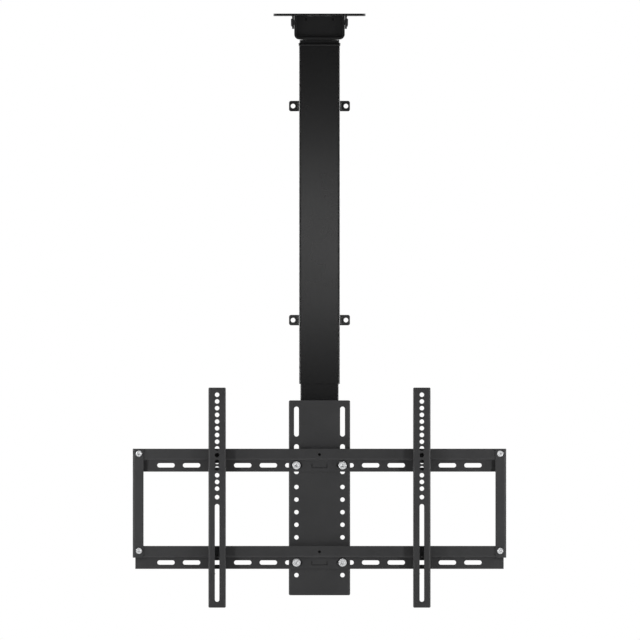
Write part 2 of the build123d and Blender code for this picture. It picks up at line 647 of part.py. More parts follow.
def nut_carrier():
    """The block in the top of the inner tube that holds the drive nut."""
    block = along_z(inner_bore(FIT_CLEARANCE), inner_top_z - NUT_CARRIER_HEIGHT, inner_top_z)
    block -= along_z(Circle(NUT_BODY / 2 + RUNNING_CLEARANCE), inner_top_z - NUT_CARRIER_HEIGHT, inner_top_z)
    holes = copies(Circle(NUT_SCREW / 2 + RUNNING_CLEARANCE), nut_screw_places())
    return block - along_z(holes, inner_top_z - NUT_CARRIER_HEIGHT / 2, inner_top_z)


def inner_tube():
    """The moving tube of the column."""
    return rectangle_tube(INNER_WIDTH, INNER_DEPTH, INNER_WALL, INNER_CORNER, inner_bottom_z, inner_top_z)


def tube_end_plug():
    """The plastic plug in the bottom of the inner tube."""
    flange = RectangleRounded(INNER_WIDTH, INNER_DEPTH, INNER_CORNER)
    plug = along_z(flange, inner_bottom_z - PLUG_FLANGE, inner_bottom_z)
    plug = chamfer(plug.faces().sort_by(Axis.Z)[0].edges(), PLUG_FLANGE / 3)
    spigot = inner_bore(FIT_CLEARANCE)
    hollow = offset(spigot, amount=-INNER_WALL)
    return plug + along_z(spigot - hollow, inner_bottom_z, inner_bottom_z + PLUG_SPIGOT)


def standoff(drop):
    """A short length of box section welded between the inner tube and the adapter plate."""
    section = RectangleRounded(STANDOFF_WIDTH, STANDOFF_DEPTH, STANDOFF_CORNER)
    bore_corner = STANDOFF_CORNER - STANDOFF_WALL
    bore_width = STANDOFF_WIDTH - 2 * STANDOFF_WALL
    bore_depth = STANDOFF_DEPTH - 2 * STANDOFF_WALL
    section -= RectangleRounded(bore_width, bore_depth, bore_corner)
    middle = Pos(0, (plate_back_y + inner_front_y) / 2)
    top = plate_top_z - drop
    return along_z(middle * section, top - STANDOFF_HEIGHT, top)


def adapter_plate():
    """A shallow channel with two columns of slots and holes for setting the frame's height."""
    half = PLATE_THICKNESS / 2
    side = PLATE_WIDTH / 2 - half
    path = FilletPolyline((-side, plate_front_y + PLATE_FLANGE), (-side, plate_front_y + half),
                          (side, plate_front_y + half), (side, plate_front_y + PLATE_FLANGE),
                          radius=PLATE_BEND_RADIUS + half)
    plate = along_z(trace(path, PLATE_THICKNESS), plate_bottom_z, plate_top_z)
    middle_z = (plate_top_z + plate_bottom_z) / 2
    face = Pos(0, middle_z) * RectangleRounded(PLATE_WIDTH, PLATE_HEIGHT, PLATE_CORNER)
    plate &= along_y(face, plate_front_y, plate_front_y + PLATE_FLANGE)
    slot = Rot(0, 0, 90) * SlotOverall(PLATE_SLOT_LENGTH, PLATE_SLOT_WIDTH)
    for index in range(2):
        slot_z = upper_bolt_z + PLATE_SLOT_ABOVE_BOLT + index * PLATE_SLOT_PITCH
        plate -= along_y(copies(slot, pair(PLATE_SLOT_SPAN, slot_z)), plate_front_y, plate_back_y)
    for index in range(PLATE_HOLE_COUNT):
        hole_z = first_plate_hole_z - index * PLATE_HOLE_PITCH
        holes = copies(Circle(PLATE_HOLE / 2), pair(PLATE_SLOT_SPAN, hole_z))
        plate -= along_y(holes, plate_front_y, plate_back_y)
    return plate


def rail(top_z):
    """A stepped rail: a raised upper band, a step, and a recessed band with a row of slots."""
    half = RAIL_THICKNESS / 2
    step_z = top_z - RAIL_RAISED_HEIGHT + half
    path = FilletPolyline((raised_front_y + half, top_z), (raised_front_y + half, step_z),
                          (recess_front_y + half, step_z), (recess_front_y + half, top_z - RAIL_HEIGHT),
                          radius=RAIL_BEND_RADIUS + half)
    bar = along_x(trace(path, RAIL_THICKNESS), -RAIL_LENGTH / 2, RAIL_LENGTH / 2)
    slot_z = top_z - RAIL_SLOT_DROP
    slot = SlotOverall(RAIL_SLOT_LENGTH, RAIL_SLOT_WIDTH)
    for index in range(1, RAIL_SLOTS_PER_SIDE + 1):
        places = pair(2 * index * RAIL_SLOT_PITCH, slot_z)
        bar -= along_y(copies(slot, places), recess_front_y, plate_front_y)
    centre_hole = Pos(0, top_z - RAIL_CENTRE_HOLE_DROP) * Circle(RAIL_CENTRE_HOLE / 2)
    bolt_holes = copies(Circle((CORNER_BOLT + HOLE_CLEARANCE) / 2), corner_places(top_z))
    bar -= along_y(centre_hole, raised_front_y, raised_back_y)
    bar -= along_y(bolt_holes, raised_front_y, raised_back_y)
    tab_z = top_z - LEVEL_TAB_DROP
    cut = Pos(0, tab_z) * Rectangle(LEVEL_TAB_LENGTH, LEVEL_TAB_CUT)
    end_x = (LEVEL_TAB_LENGTH - LEVEL_TAB_CUT) / 2
    ends = pair(2 * end_x, tab_z + LEVEL_TAB_HEIGHT / 2)
    cut += copies(Rectangle(LEVEL_TAB_CUT, LEVEL_TAB_HEIGHT), ends)
    return bar - along_y(cut, recess_front_y, plate_front_y)


def upright():
    """The right upright: an angle that covers the ends of both rails."""
    half = UPRIGHT_THICKNESS / 2
    outer_x = RAIL_LENGTH / 2 + UPRIGHT_OVERHANG
    inner_x = outer_x - UPRIGHT_WIDTH
    path = FilletPolyline((inner_x, upright_front_y + half), (outer_x - half, upright_front_y + half),
                          (outer_x - half, upright_front_y + UPRIGHT_FLANGE),
                          radius=UPRIGHT_BEND_RADIUS + half)
    bottom = rail_top_z - UPRIGHT_LENGTH
    bar = along_z(trace(path, UPRIGHT_THICKNESS), bottom, rail_top_z)
    lower_corners = bar.edges().filter_by(Axis.Y).group_by(Axis.Z)[0].sort_by(Axis.X)[:1]
    bar = fillet(lower_corners, UPRIGHT_CORNER)
    for index in range(2):
        hole_z = rail_top_z - index * RAIL_PITCH - CORNER_BOLT_DROP
        hole = Pos(corner_bolt_x, hole_z) * Circle((CORNER_BOLT + HOLE_CLEARANCE) / 2)
        bar -= along_y(hole, upright_front_y, raised_front_y)
    return bar


def corner_places(top_z):
    """The two corner bolts of one rail, in X and Z."""
    return pair(2 * corner_bolt_x, top_z - CORNER_BOLT_DROP)


def corner_bolts(top_z):
    """Two pan-head bolts through the uprights and the raised band."""
    places = corner_places(top_z)
    shank_end = raised_back_y + CORNER_NUT_HEIGHT + BOLT_END / 2
    bolts = along_y(copies(Circle(CORNER_BOLT / 2), places), upright_front_y, shank_end)
    head_front = upright_front_y - CORNER_BOLT_HEAD_HEIGHT
    heads = along_y(copies(Circle(CORNER_BOLT_HEAD / 2), places), head_front, upright_front_y)
    heads = fillet(heads.faces().group_by(Axis.Y)[0].edges(), CORNER_BOLT_HEAD_HEIGHT / 2)
    sockets = copies(hexagon(CORNER_BOLT_SOCKET), places)
    heads -= along_y(sockets, head_front, head_front + CORNER_BOLT_SOCKET_DEPTH)
    return bolts + heads


def corner_nuts(top_z):
    """The nuts of one rail's corner bolts, behind the raised band."""
    nut = hexagon(CORNER_NUT_FLATS) - Circle(CORNER_BOLT / 2 + RUNNING_CLEARANCE)
    nuts = copies(nut, corner_places(top_z))
    return along_y(nuts, raised_back_y, raised_back_y + CORNER_NUT_HEIGHT)


def plate_bolt_places(top_z):
    """The two bolts of one rail on the adapter plate, in X and Z."""
    return pair(PLATE_SLOT_SPAN, top_z - RAIL_SLOT_DROP)


def plate_bolts(top_z):
    """Two hexagon bolts through a rail's slots and the adapter plate."""
    places = plate_bolt_places(top_z)
    shank_end = plate_back_y + PLATE_WASHER_THICKNESS + PLATE_NUT_HEIGHT + BOLT_END
    bolts = along_y(copies(Circle(PLATE_BOLT / 2), places), recess_front_y, shank_end)
    head_front = recess_front_y - PLATE_BOLT_HEAD_HEIGHT
    heads = along_y(copies(hexagon(PLATE_BOLT_FLATS), places), head_front, recess_front_y)
    crowns = along_y(copies(Circle(PLATE_BOLT_CROWN / 2), places), head_front, recess_front_y)
    crowns = chamfer(crowns.faces().group_by(Axis.Y)[0].edges(), PLATE_BOLT_CHAMFER)
    return bolts + (heads & crowns)


def plate_washers(top_z):
    """The washers behind the adapter plate."""
    ring = Circle(PLATE_WASHER / 2) - Circle(PLATE_BOLT / 2 + FIT_CLEARANCE)
    rings = copies(ring, plate_bolt_places(top_z))
    return along_y(rings, plate_back_y, plate_back_y + PLATE_WASHER_THICKNESS)


def plate_nuts(top_z):
    """The nuts behind the adapter plate."""
    front = plate_back_y + PLATE_WASHER_THICKNESS
    nut = hexagon(PLATE_BOLT_FLATS) - Circle(PLATE_BOLT / 2 + RUNNING_CLEARANCE)
    nuts = copies(nut, plate_bolt_places(top_z))
    return along_y(nuts, front, front + PLATE_NUT_HEIGHT)


def arm_side_outline():
    """The arm seen from the side: a hook for the upper rail, and a foot in the lower rail's recess."""
    upper = rail_top_z
    lower = lower_rail_top_z
    seat_y = raised_front_y - ARM_RUN
    slot_back_y = raised_back_y + ARM_RUN
    hook_back_y = slot_back_y + ARM_HOOK_THICKNESS
    foot_y = recess_front_y - ARM_RUN
    end_y = arm_front_y + ARM_END_DEPTH
    points = [
        (arm_front_y, arm_top_z),
        (end_y, arm_top_z),
        (hook_back_y, upper + ARM_HOOK_RISE),
        (hook_back_y, upper - ARM_HOOK_DEPTH),
        (slot_back_y, upper - ARM_HOOK_DEPTH),
        (slot_back_y, upper + ARM_RUN),
        (seat_y, upper + ARM_RUN),
        (seat_y, lower - ARM_FOOT_START),
        (foot_y, lower - ARM_FOOT_START),
        (foot_y, lower - ARM_FOOT_END),
        (end_y, arm_bottom_z),
        (arm_front_y, arm_bottom_z),
    ]
    return make_face(Polyline(*points, close=True))


def arm_blank():
    """The arm's folded channel in the middle plane, before its place on the rails."""
    half = ARM_THICKNESS / 2
    side = ARM_WIDTH / 2 - half
    flange_end = plate_front_y + RAIL_STEP
    path = FilletPolyline((-side, flange_end), (-side, arm_front_y + half), (side, arm_front_y + half),
                          (side, flange_end), radius=ARM_BEND_RADIUS + half)
    return along_z(trace(path, ARM_THICKNESS), arm_bottom_z, arm_top_z)


def arm(centre_x):
    """An upright channel with a row of holes, one more hole and a long slot for the screen's screws."""
    body = arm_blank() & along_x(arm_side_outline(), -ARM_WIDTH / 2, ARM_WIDTH / 2)
    middle_z = (arm_top_z + arm_bottom_z) / 2
    face = Pos(0, middle_z) * RectangleRounded(ARM_WIDTH, ARM_LENGTH, ARM_CORNER)
    body &= along_y(face, arm_front_y, 0)
    web_back = arm_front_y + ARM_THICKNESS
    drops = [index * ARM_HOLE_PITCH for index in range(ARM_HOLE_COUNT)] + [ARM_PATTERN_HEIGHT]
    for drop in drops:
        hole = Pos(0, first_hole_z - drop) * Circle(ARM_HOLE / 2)
        body -= along_y(hole, arm_front_y, web_back)
    slot_top_z = first_hole_z - ARM_SLOT_START
    slot_bottom_z = arm_bottom_z + ARM_SLOT_ABOVE_END
    slot = Rot(0, 0, 90) * SlotOverall(slot_top_z - slot_bottom_z, ARM_HOLE)
    body -= along_y(Pos(0, (slot_top_z + slot_bottom_z) / 2) * slot, arm_front_y, web_back)
    screw_hole = Pos(lock_screw_y, lock_screw_z) * Circle(LOCK_SCREW / 2 + RUNNING_CLEARANCE)
    body -= along_x(screw_hole, -ARM_WIDTH / 2, -ARM_WIDTH / 2 + ARM_THICKNESS)
    return Pos(centre_x, 0, 0) * body


def lock_screw(centre_x):
    """A cone-point screw through the arm's left flange, just under the lower rail."""
    start = -ARM_WIDTH / 2
    end = start + LOCK_SCREW_LENGTH
    place = Pos(lock_screw_y, lock_screw_z)
    screw = along_x(place * Circle(LOCK_SCREW / 2), start, end - LOCK_SCREW_CONE)
    tip = Cone(LOCK_SCREW / 2, LOCK_SCREW / 10, LOCK_SCREW_CONE)
    screw += Pos(end - LOCK_SCREW_CONE / 2, lock_screw_y, lock_screw_z) * (Rot(0, 90, 0) * tip)
    socket = place * hexagon(LOCK_SCREW / 2)
    screw -= along_x(socket, start, start + ARM_THICKNESS)
    return Pos(centre_x, 0, 0) * screw


pieces = {
    "ceiling_plate": ceiling_plate(),
    "right_pivot_bolt": pivot_bolt(),
    "left_pivot_bolt": mirrored(pivot_bolt()),
    "right_pivot_nut": pivot_nut(),
    "left_pivot_nut": mirrored(pivot_nut()),
    "head_bracket": head_bracket(),
    "swivel_disc": swivel_disc(),
    "swivel_bolt": swivel_bolt(),
    "swivel_washer": swivel_washer(),
    "swivel_nut": swivel_nut(),
    "top_cap": top_cap(),
    "cap_screws": back_screws(cap_screw_places()),
    "outer_tube": outer_tube(),
    "cable_outlet": cable_outlet(),
    "right_upper_lug": lug(lug_upper_z),
    "left_upper_lug": mirrored(lug(lug_upper_z)),
    "right_lower_lug": lug(lug_lower_z),
    "left_lower_lug": mirrored(lug(lug_lower_z)),
    "lower_glide": lower_glide(),
    "gearmotor": gearmotor(),
    "motor_screws": motor_screws(),
    "bearing_block": bearing_block(),
    "block_screws": back_screws(block_screw_places()),
    "screw_bearing": screw_bearing(),
    "motor_shaft": motor_shaft(),
    "coupler": coupler(),
    "lead_screw": lead_screw(),
    "drive_nut": drive_nut(),
    "nut_screws": nut_screws(),
    "nut_carrier": nut_carrier(),
    "upper_glide": upper_glide(),
    "inner_tube": inner_tube(),
    "tube_end_plug": tube_end_plug(),
    "upper_standoff": standoff(STANDOFF_UPPER_DROP),
    "lower_standoff": standoff(STANDOFF_LOWER_DROP),
    "adapter_plate": adapter_plate(),
    "upper_rail": rail(rail_top_z),
    "lower_rail": rail(lower_rail_top_z),
    "right_upright": upright(),
    "left_upright": mirrored(upright()),
    "upper_corner_bolts": corner_bolts(rail_top_z),
    "lower_corner_bolts": corner_bolts(lower_rail_top_z),
    "upper_corner_nuts": corner_nuts(rail_top_z),
    "lower_corner_nuts": corner_nuts(lower_rail_top_z),
    "upper_plate_bolts": plate_bolts(rail_top_z),
    "lower_plate_bolts": plate_bolts(lower_rail_top_z),
    "upper_plate_washers": plate_washers(rail_top_z),
    "lower_plate_washers": plate_washers(lower_rail_top_z),
    "upper_plate_nuts": plate_nuts(rail_top_z),
    "lower_plate_nuts": plate_nuts(lower_rail_top_z),
    "right_arm": arm(ARM_SPAN / 2),
    "left_arm": arm(-ARM_SPAN / 2),
    "right_lock_screw": lock_screw(ARM_SPAN / 2),
    "left_lock_screw": lock_screw(-ARM_SPAN / 2),
}

os.makedirs("parts", exist_ok=True)
for name, piece in pieces.items():
    export_step(piece, f"parts/{name}.step")
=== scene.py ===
import math
from collections import namedtuple

import bpy
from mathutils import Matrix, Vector


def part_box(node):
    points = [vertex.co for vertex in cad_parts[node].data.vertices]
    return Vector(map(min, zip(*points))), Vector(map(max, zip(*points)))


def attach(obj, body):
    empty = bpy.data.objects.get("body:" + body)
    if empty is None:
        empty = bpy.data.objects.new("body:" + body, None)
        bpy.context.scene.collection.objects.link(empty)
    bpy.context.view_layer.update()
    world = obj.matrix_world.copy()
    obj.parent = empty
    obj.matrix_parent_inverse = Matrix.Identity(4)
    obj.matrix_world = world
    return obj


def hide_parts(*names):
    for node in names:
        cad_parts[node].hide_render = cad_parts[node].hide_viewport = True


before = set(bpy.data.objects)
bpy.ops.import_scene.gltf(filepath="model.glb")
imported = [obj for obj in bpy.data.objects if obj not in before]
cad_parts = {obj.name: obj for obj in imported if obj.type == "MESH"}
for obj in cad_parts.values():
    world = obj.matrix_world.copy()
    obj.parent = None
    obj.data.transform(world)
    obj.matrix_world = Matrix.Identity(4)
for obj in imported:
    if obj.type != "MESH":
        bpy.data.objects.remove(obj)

bl_info = {
    "name": "Ceiling mount finishes",
    "version": (1, 0, 0),
    "blender": (4, 5, 0),
    "location": "3D View > Sidebar > Ceiling Mount",
    "description": "Coats, fasteners, welds, lamps and camera for a motorised ceiling mount",
    "category": "Object",
}

MM = 0.001


def linear(hex_color):
    """An sRGB hex colour as linear red, green, blue and alpha, by the standard's own curve."""
    channels = [int(hex_color[i:i + 2], 16) / 255 for i in (1, 3, 5)]
    low = 0.04045
    return tuple(c / 12.92 if c <= low else ((c + 0.055) / 1.055) ** 2.4 for c in channels) + (1.0,)


# Pieces of the mount by the finish that they take
SHEET_STEEL = (
    "adapter_plate", "upper_rail", "lower_rail", "right_upright", "left_upright", "right_arm",
    "left_arm", "upper_standoff", "lower_standoff",
)
CEILING_BRACKET = ("ceiling_plate", "head_bracket")
ENAMELLED_STEEL = (
    "top_cap", "outer_tube", "inner_tube", "right_upper_lug", "left_upper_lug", "right_lower_lug",
    "left_lower_lug",
)
ZINC_FASTENERS = (
    "upper_corner_bolts", "lower_corner_bolts", "upper_corner_nuts", "lower_corner_nuts",
    "upper_plate_bolts", "lower_plate_bolts", "upper_plate_washers", "lower_plate_washers",
    "upper_plate_nuts", "lower_plate_nuts", "swivel_bolt", "swivel_washer", "swivel_nut",
    "motor_screws", "nut_screws",
)
BLACK_FASTENERS = (
    "right_pivot_bolt", "left_pivot_bolt", "right_pivot_nut", "left_pivot_nut", "cap_screws",
    "block_screws", "right_lock_screw", "left_lock_screw",
)
GLIDES = ("swivel_disc", "lower_glide", "upper_glide", "tube_end_plug")
TURNED_STEEL = ("motor_shaft", "coupler", "lead_screw", "screw_bearing")
CAST_BLOCKS = ("bearing_block", "nut_carrier")

# Where a colour ramp holds its two colours, because a pattern's values seldom go beyond
RAMP_ENDS = (0.3, 0.7)

# Radius that a coat gives to cut edges: on thin sheet, on the ground edges of the thick ceiling
# bracket, and on drawn tube
SHEET_EDGE = 0.5 * MM
BRACKET_EDGE = 1.6 * MM
TUBE_EDGE = 0.6 * MM

# Threads in metric sizes: radius, pitch, and the point at the free end, as its tip's share of the
# radius and its length. The lead screw has four starts, so its pitch is a quarter of its lead.
Thread = namedtuple("Thread", "radius pitch tip_share tip_length")
PLATE_BOLT_THREAD = Thread(4 * MM, 1.25 * MM, 0.8, 0.5 * MM)
CORNER_BOLT_THREAD = Thread(3 * MM, 1 * MM, 0.8, 0.4 * MM)
SWIVEL_BOLT_THREAD = Thread(8 * MM, 2 * MM, 0.85, 1 * MM)
PIVOT_BOLT_THREAD = Thread(5 * MM, 1.5 * MM, 0.82, 0.6 * MM)
LOCK_SCREW_THREAD = Thread(2.5 * MM, 0.8 * MM, 0.2, 3 * MM)
LEAD_SCREW_THREAD = Thread(8 * MM, 4 * MM, 0.8, 1.6 * MM)

# Depth of a thread as a share of its pitch, and the steps that draw one turn
THREAD_DEPTH = 0.6
THREAD_STEPS = 24

# How far a thread starts inside its nut, the plain end of a lock screw round its socket, and the
# collar between the lead screw's bearing and its thread
INSIDE_NUT = 1 * MM
SOCKET_LENGTH = 2.2 * MM
SCREW_COLLAR_LENGTH = 4 * MM

# Widths of the plate bolts' round heads, and of the corner bolts' heads, enlarged copies of which
# they are
PLATE_BOLT_HEAD = 16 * MM
CORNER_BOLT_HEAD = 12 * MM

# Sheet of the rails, whose front carries the heads of the plate bolts
RAIL_THICKNESS = 2 * MM

# How near a cut takes a vertex as its own
CUT_TOLERANCE = 0.001 * MM

# Weld beads: radius, distance from the ends of the lug or standoff that they hold, and distance
# from a standoff's sides
LUG_WELD_RADIUS = 1.7 * MM
LUG_WELD_GAP = 1.5 * MM
STANDOFF_WELD_RADIUS = 2 * MM
STANDOFF_WELD_GAP = 3 * MM
STANDOFF_WELD_INSET = 1.8 * MM

# One ripple of a bead: its length, and the rise of each of its rings as a share of that with the
# ring's share of the bead's radius. Both ends of a bead are narrower.
RIPPLE_LENGTH = 1.6 * MM
RIPPLE_RINGS = ((0.4, 1.0), (0.35, 1.1), (0.25, 0.92))
BEAD_END_SHARE = 0.6

# Faces that meet at less than this angle are shaded as one curve
THREAD_SMOOTHING = math.radians(35)
BEAD_SMOOTHING = math.radians(60)

# The point in the middle of the picture
VIEW_CENTRE = Vector((0.001, 0, -0.599))


class MountFinishSettings(bpy.types.PropertyGroup):
    coat_color: bpy.props.FloatVectorProperty(
        name="Powder coat", description="Colour of the coat on the folded sheet steel",
        subtype="COLOR", size=4, min=0.0, max=1.0, default=linear("#3c3c3d"))
    # The ceiling plate and head take the sheet's own coat in a darker colour: painted shade, for the
    # weaker light that reaches them than the frame
    shaded_bracket_color: bpy.props.FloatVectorProperty(
        name="Bracket coat", description="Colour of the darker coat on the ceiling plate and head",
        subtype="COLOR", size=4, min=0.0, max=1.0, default=linear("#282829"))
    coat_grain: bpy.props.FloatProperty(
        name="Orange peel", description="Width of one bump of the cured powder",
        subtype="DISTANCE", unit="LENGTH", min=0.2 * MM, max=5 * MM, default=1.4 * MM)
    enamel_color: bpy.props.FloatVectorProperty(
        name="Tube enamel", description="Colour of the enamel on the column tubes",
        subtype="COLOR", size=4, min=0.0, max=1.0, default=linear("#131314"))


class MountStageSettings(bpy.types.PropertyGroup):
    floor_height: bpy.props.FloatProperty(
        name="Floor height", description="How far the floor lies below the ceiling plate",
        subtype="DISTANCE", unit="LENGTH", min=1.3, max=3.0, default=1.75)
    floor_radius: bpy.props.FloatProperty(
        name="Floor radius", description="Radius of the round floor",
        subtype="DISTANCE", unit="LENGTH", min=0.5, max=4.0, default=1.5)
    camera_distance: bpy.props.FloatProperty(
        name="Camera distance", description="Distance from the camera to the mount, long enough to "
        "show it without perspective",
        subtype="DISTANCE", unit="LENGTH", min=2.0, max=100.0, default=60.0)
    view_width: bpy.props.FloatProperty(
        name="View width", description="Width of the picture where the mount hangs",
        subtype="DISTANCE", unit="LENGTH", min=0.5, max=5.0, default=1.2522)


def add_node(tree, kind, inputs=None, ramp=None, **settings):
    """Add a node. Inputs maps a socket's name or number to a value or to another node's output, and
    ramp holds the two colours of a colour ramp."""
    node = tree.nodes.new(kind)
    for name, value in settings.items():
        setattr(node, name, value)
    for socket, value in (inputs or {}).items():
        if isinstance(value, bpy.types.NodeSocket):
            tree.links.new(value, node.inputs[socket])
        else:
            node.inputs[socket].default_value = value
    if ramp:
        for element, position, color in zip(node.color_ramp.elements, RAMP_ENDS, ramp):
            element.position = position
            element.color = color
    return node


def new_material(name):
    """An empty node material, with its tree and the coordinates of the piece."""
    material = bpy.data.materials.new(name)
    material.use_nodes = True
    tree = material.node_tree
    tree.nodes.clear()
    place = add_node(tree, "ShaderNodeTexCoord").outputs["Object"]
    return material, tree, place


def scaled(color, share):
    """A linear colour made lighter or darker by a share."""
    return tuple(c * share for c in color[:3]) + (1.0,)


def satin_powder_coat(name, color, grain, edge_radius):
    """Polyester powder cured on sheet steel: a broad soft sheen over a fine orange peel, with the
    film a little thicker in some places than in others, so that its tone and sheen drift. The film
    rounds over every cut edge."""
    material, tree, place = new_material(name)
    peel_depth = 0.04 * MM
    drift_width = 45 * MM
    tone_drift = 0.07
    peel = add_node(tree, "ShaderNodeTexNoise", {"Vector": place, "Scale": 1 / grain, "Detail": 2.0})
    drift = add_node(tree, "ShaderNodeTexNoise",
                     {"Vector": place, "Scale": 1 / drift_width, "Detail": 2.0})
    tone = add_node(tree, "ShaderNodeValToRGB", {"Fac": drift.outputs["Fac"]},
                    ramp=(scaled(color, 1 - tone_drift), scaled(color, 1 + tone_drift)))
    roughness = add_node(tree, "ShaderNodeMapRange",
                         {"Value": drift.outputs["Fac"], "To Min": 0.5, "To Max": 0.58})
    soft_edge = add_node(tree, "ShaderNodeBevel", {"Radius": edge_radius}, samples=4)
    bump = add_node(tree, "ShaderNodeBump",
                    {"Height": peel.outputs["Fac"], "Strength": 0.35, "Distance": peel_depth,
                     "Normal": soft_edge.outputs[0]})
    shader = add_node(tree, "ShaderNodeBsdfPrincipled",
                      {"Base Color": tone.outputs["Color"], "Roughness": roughness.outputs[0],
                       "Normal": bump.outputs[0], "IOR": 1.5})
    add_node(tree, "ShaderNodeOutputMaterial", {"Surface": shader.outputs[0]})
    return material


def semi_gloss_enamel(color):
    """Baked enamel on drawn box tube: smoother and darker than the powder coat, with the long soft
    reflections that a flat tube face gives, and faint draw lines along the tube."""
    material, tree, place = new_material("semi_gloss_black_enamel")
    line_width = 2.5 * MM
    line_length = 400 * MM
    line_depth = 0.02 * MM
    cloud_width = 60 * MM
    tone_drift = 0.08
    stretched = add_node(tree, "ShaderNodeMapping",
                         {"Vector": place, "Scale": (1 / line_width, 1 / line_width, 1 / line_length)})
    lines = add_node(tree, "ShaderNodeTexNoise",
                     {"Vector": stretched.outputs[0], "Scale": 1.0, "Detail": 1.0})
    cloud = add_node(tree, "ShaderNodeTexNoise",
                     {"Vector": place, "Scale": 1 / cloud_width, "Detail": 2.0})
    tone = add_node(tree, "ShaderNodeValToRGB", {"Fac": cloud.outputs["Fac"]},
                    ramp=(scaled(color, 1 - tone_drift), scaled(color, 1 + tone_drift)))
    roughness = add_node(tree, "ShaderNodeMapRange",
                         {"Value": cloud.outputs["Fac"], "To Min": 0.25, "To Max": 0.29})
    soft_edge = add_node(tree, "ShaderNodeBevel", {"Radius": TUBE_EDGE}, samples=4)
    bump = add_node(tree, "ShaderNodeBump",
                    {"Height": lines.outputs["Fac"], "Strength": 0.15, "Distance": line_depth,
                     "Normal": soft_edge.outputs[0]})
    shader = add_node(tree, "ShaderNodeBsdfPrincipled",
                      {"Base Color": tone.outputs["Color"], "Roughness": roughness.outputs[0],
                       "Normal": bump.outputs[0], "IOR": 1.5})
    add_node(tree, "ShaderNodeOutputMaterial", {"Surface": shader.outputs[0]})
    return material


def zinc_plate_painted_highlight():
    """Steel plated with zinc and passivated: a bluish silver metal with a crystalline mottle. Its
    near-white, mostly unmetallic colour is partly the zinc's own silver and partly painted reflection of
    the bright light that the flat heads mirror."""
    material, tree, place = new_material("zinc_plated_steel_painted_highlight")
    crystal_width = 1.2 * MM
    crystals = add_node(tree, "ShaderNodeTexVoronoi", {"Vector": place, "Scale": 1 / crystal_width})
    # Near-white colours: the zinc's silver lifted by a painted reflection
    tone = add_node(tree, "ShaderNodeValToRGB", {"Fac": crystals.outputs["Distance"]},
                    ramp=(linear("#f0f1f3"), linear("#fafbfc")))
    roughness = add_node(tree, "ShaderNodeMapRange",
                         {"Value": crystals.outputs["Distance"], "To Min": 0.3, "To Max": 0.42})
    shader = add_node(tree, "ShaderNodeBsdfPrincipled",
                      {"Base Color": tone.outputs["Color"], "Metallic": 0.15,
                       "Roughness": roughness.outputs[0]})
    add_node(tree, "ShaderNodeOutputMaterial", {"Surface": shader.outputs[0]})
    return material


def black_oxide_steel():
    """Hardened steel blacked in a hot bath: a thin dark film that keeps a metal's dull shine."""
    material, tree, place = new_material("black_oxide_steel")
    patch_width = 2 * MM
    patches = add_node(tree, "ShaderNodeTexNoise", {"Vector": place, "Scale": 1 / patch_width})
    tone = add_node(tree, "ShaderNodeValToRGB", {"Fac": patches.outputs["Fac"]},
                    ramp=(linear("#18181a"), linear("#232325")))
    roughness = add_node(tree, "ShaderNodeMapRange",
                         {"Value": patches.outputs["Fac"], "To Min": 0.38, "To Max": 0.5})
    shader = add_node(tree, "ShaderNodeBsdfPrincipled",
                      {"Base Color": tone.outputs["Color"], "Metallic": 0.1,
                       "Roughness": roughness.outputs[0]})
    add_node(tree, "ShaderNodeOutputMaterial", {"Surface": shader.outputs[0]})
    return material


def moulded_acetal():
    """Injection-moulded acetal: a waxy black plastic with the fine matt of an etched mould."""
    material, tree, place = new_material("moulded_black_acetal")
    etch_width = 0.8 * MM
    etch_depth = 0.03 * MM
    etch = add_node(tree, "ShaderNodeTexNoise",
                    {"Vector": place, "Scale": 1 / etch_width, "Detail": 3.0})
    tone = add_node(tree, "ShaderNodeValToRGB", {"Fac": etch.outputs["Fac"]},
                    ramp=(linear("#161616"), linear("#1c1c1c")))
    bump = add_node(tree, "ShaderNodeBump",
                    {"Height": etch.outputs["Fac"], "Strength": 0.3, "Distance": etch_depth})
    shader = add_node(tree, "ShaderNodeBsdfPrincipled",
                      {"Base Color": tone.outputs["Color"], "Roughness": 0.5,
                       "Normal": bump.outputs[0], "IOR": 1.48})
    add_node(tree, "ShaderNodeOutputMaterial", {"Surface": shader.outputs[0]})
    return material


def moulded_rubber():
    """Moulded rubber: almost no shine, and a slight bloom that greys it."""
    material, tree, place = new_material("moulded_black_rubber")
    bloom_width = 3 * MM
    bloom = add_node(tree, "ShaderNodeTexNoise", {"Vector": place, "Scale": 1 / bloom_width})
    tone = add_node(tree, "ShaderNodeValToRGB", {"Fac": bloom.outputs["Fac"]},
                    ramp=(linear("#141414"), linear("#1f1f1e")))
    shader = add_node(tree, "ShaderNodeBsdfPrincipled",
                      {"Base Color": tone.outputs["Color"], "Roughness": 0.8, "IOR": 1.52})
    add_node(tree, "ShaderNodeOutputMaterial", {"Surface": shader.outputs[0]})
    return material


def turned_metal(name, dark, light):
    """Metal turned on a lathe: fine rings round the piece's axis, a tenth of a millimetre apart and
    drawn coarser here so that they show."""
    material, tree, place = new_material(name)
    ring_width = 0.6 * MM
    ring_depth = 0.03 * MM
    rings = add_node(tree, "ShaderNodeTexWave",
                     {"Vector": place, "Scale": 1 / (2 * math.pi * ring_width), "Distortion": 0.4},
                     bands_direction="Z")
    tone = add_node(tree, "ShaderNodeValToRGB", {"Fac": rings.outputs["Fac"]}, ramp=(dark, light))
    bump = add_node(tree, "ShaderNodeBump",
                    {"Height": rings.outputs["Fac"], "Strength": 0.2, "Distance": ring_depth})
    shader = add_node(tree, "ShaderNodeBsdfPrincipled",
                      {"Base Color": tone.outputs["Color"], "Metallic": 1.0, "Roughness": 0.32,
                       "Normal": bump.outputs[0]})
    add_node(tree, "ShaderNodeOutputMaterial", {"Surface": shader.outputs[0]})
    return material


